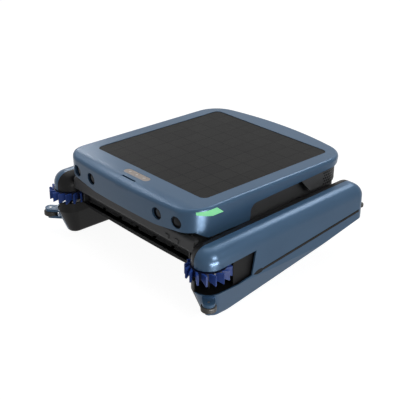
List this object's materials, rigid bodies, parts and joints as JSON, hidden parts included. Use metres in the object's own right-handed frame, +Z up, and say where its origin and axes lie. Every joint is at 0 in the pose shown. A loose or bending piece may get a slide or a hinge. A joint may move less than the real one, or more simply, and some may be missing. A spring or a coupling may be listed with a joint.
{
  "type": "pool surface skimmer robot",
  "caption": "Solar-powered pool surface skimmer on two pontoons, with a hinged deck, paddle brushes in the noses and a roller that carries debris into a pull-out basket.",
  "frame": {"origin": "centre of the outline seen from above, on the ground that the keels stand on", "axes": "+X across the pontoons, -Y to the front with the brushes, +Z up"},
  "size_m": [0.5522, 0.4808, 0.205],
  "materials": {
    "blue": "satin pearl blue-grey moulding",
    "panel": "dark laminate over solar cells",
    "grey": "dark grey grained moulding",
    "black": "black moulding",
    "pad": "pale smooth control pad",
    "keys": "pale smooth keys",
    "light": "light green light guide",
    "brush_blue": "flexible blue paddle rubber",
    "roller": "black-brown roller rubber",
    "seal": "black foam seal",
    "steel": "plain stainless steel",
    "board": "green circuit board",
    "motor": "dark coated motor can",
    "battery": "sleeved cell pack",
    "sensor": "dark lens window"
  },
  "bodies": {
    "hull": {"pontoon_upper_left": "blue", "pontoon_upper_right": "blue", "pontoon_lower_left": "blue", "pontoon_lower_right": "blue", "pontoon_inner_left": "grey", "pontoon_inner_right": "grey", "seam_strip_left": "black", "seam_strip_right": "black", "brush_bay_left": "black", "brush_bay_right": "black", "brush_motor_left": "motor", "brush_motor_right": "motor", "thruster_duct_left": "black", "thruster_duct_right": "black", "thruster_motor_left": "motor", "thruster_motor_right": "motor", "battery_pack_left": "battery", "battery_pack_right": "battery", "rear_brackets": "black", "roller_pins": "steel", "pontoon_bolts": "steel", "hull_tray": "grey", "chin_scoop": "black", "intake_frame": "grey", "beam_clips": "grey", "paddle_motor": "motor", "hinge_pins": "steel"},
    "lid": {"lid_shell": "blue", "solar_panel": "panel", "panel_gasket": "seal", "control_pad": "pad", "key_board": "board", "latch_housing": "black", "range_sensors": "sensor", "corner_lights": "light", "lid_liner": "grey", "liner_screws": "steel", "control_board": "board"},
    "latch": {"latch_tab": "blue"},
    "key_left": {"key_left": "keys"},
    "key_middle": {"key_middle": "keys"},
    "key_right": {"key_right": "keys"},
    "brush_left": {"side_brush_left": "brush_blue", "brush_shaft_left": "steel"},
    "propeller_left": {"propeller_left": "grey"},
    "front_roller_left": {"front_roller_left": "roller"},
    "rear_roller_left": {"rear_roller_left": "roller"},
    "brush_right": {"side_brush_right": "brush_blue", "brush_shaft_right": "steel"},
    "propeller_right": {"propeller_right": "grey"},
    "front_roller_right": {"front_roller_right": "roller"},
    "rear_roller_right": {"rear_roller_right": "roller"},
    "paddle": {"paddle_roller": "black", "paddle_plugs": "black"},
    "flap": {"intake_flap": "grey"},
    "basket": {"debris_basket": "grey", "basket_end": "grey", "rear_screen": "grey", "grip_cup": "grey"}
  },
  "joints": [
    {"name": "lid_hinge", "type": "hinge", "parent": "hull", "child": "lid", "pos_m": [0, 0.22474, 0.191], "axis": [-1, 0, 0], "range_deg": [0, 60]},
    {"name": "latch_push", "type": "slide", "parent": "lid", "child": "latch", "axis": [0, 1, 0], "range_m": [0, 0.003], "stiffness_N_per_m": 400},
    {"name": "key_left_press", "type": "slide", "parent": "lid", "child": "key_left", "axis": [0, 0, -1], "range_m": [0, 0.0008], "stiffness_N_per_m": 300},
    {"name": "key_middle_press", "type": "slide", "parent": "lid", "child": "key_middle", "axis": [0, 0, -1], "range_m": [0, 0.0008], "stiffness_N_per_m": 300},
    {"name": "key_right_press", "type": "slide", "parent": "lid", "child": "key_right", "axis": [0, 0, -1], "range_m": [0, 0.0008], "stiffness_N_per_m": 300},
    {"name": "brush_spin_left", "type": "hinge", "parent": "hull", "child": "brush_left", "pos_m": [-0.226, -0.19526, 0.105], "axis": [0, 0, 1], "continuous": true},
    {"name": "propeller_spin_left", "type": "hinge", "parent": "hull", "child": "propeller_left", "pos_m": [-0.15, 0.13674, 0.0254], "axis": [0, 1, 0], "continuous": true},
    {"name": "front_roller_spin_left", "type": "hinge", "parent": "hull", "child": "front_roller_left", "pos_m": [-0.26107, -0.22574, 0.042], "axis": [0, 0, 1], "continuous": true},
    {"name": "rear_roller_spin_left", "type": "hinge", "parent": "hull", "child": "rear_roller_left", "pos_m": [-0.2435, 0.21659, 0.10041], "axis": [0, 0, 1], "continuous": true},
    {"name": "brush_spin_right", "type": "hinge", "parent": "hull", "child": "brush_right", "pos_m": [0.226, -0.19526, 0.105], "axis": [0, 0, 1], "continuous": true},
    {"name": "propeller_spin_right", "type": "hinge", "parent": "hull", "child": "propeller_right", "pos_m": [0.15, 0.13674, 0.0254], "axis": [0, 1, 0], "continuous": true},
    {"name": "front_roller_spin_right", "type": "hinge", "parent": "hull", "child": "front_roller_right", "pos_m": [0.26107, -0.22574, 0.042], "axis": [0, 0, 1], "continuous": true},
    {"name": "rear_roller_spin_right", "type": "hinge", "parent": "hull", "child": "rear_roller_right", "pos_m": [0.2435, 0.21659, 0.10041], "axis": [0, 0, 1], "continuous": true},
    {"name": "paddle_spin", "type": "hinge", "parent": "hull", "child": "paddle", "pos_m": [0, -0.16926, 0.099], "axis": [1, 0, 0], "continuous": true},
    {"name": "flap_swing", "type": "hinge", "parent": "hull", "child": "flap", "pos_m": [0, -0.13626, 0.126], "axis": [1, 0, 0], "range_deg": [0, 50]},
    {"name": "basket_pull", "type": "slide", "parent": "hull", "child": "basket", "axis": [0, 1, 0], "range_m": [0, 0.335]}
  ]
}
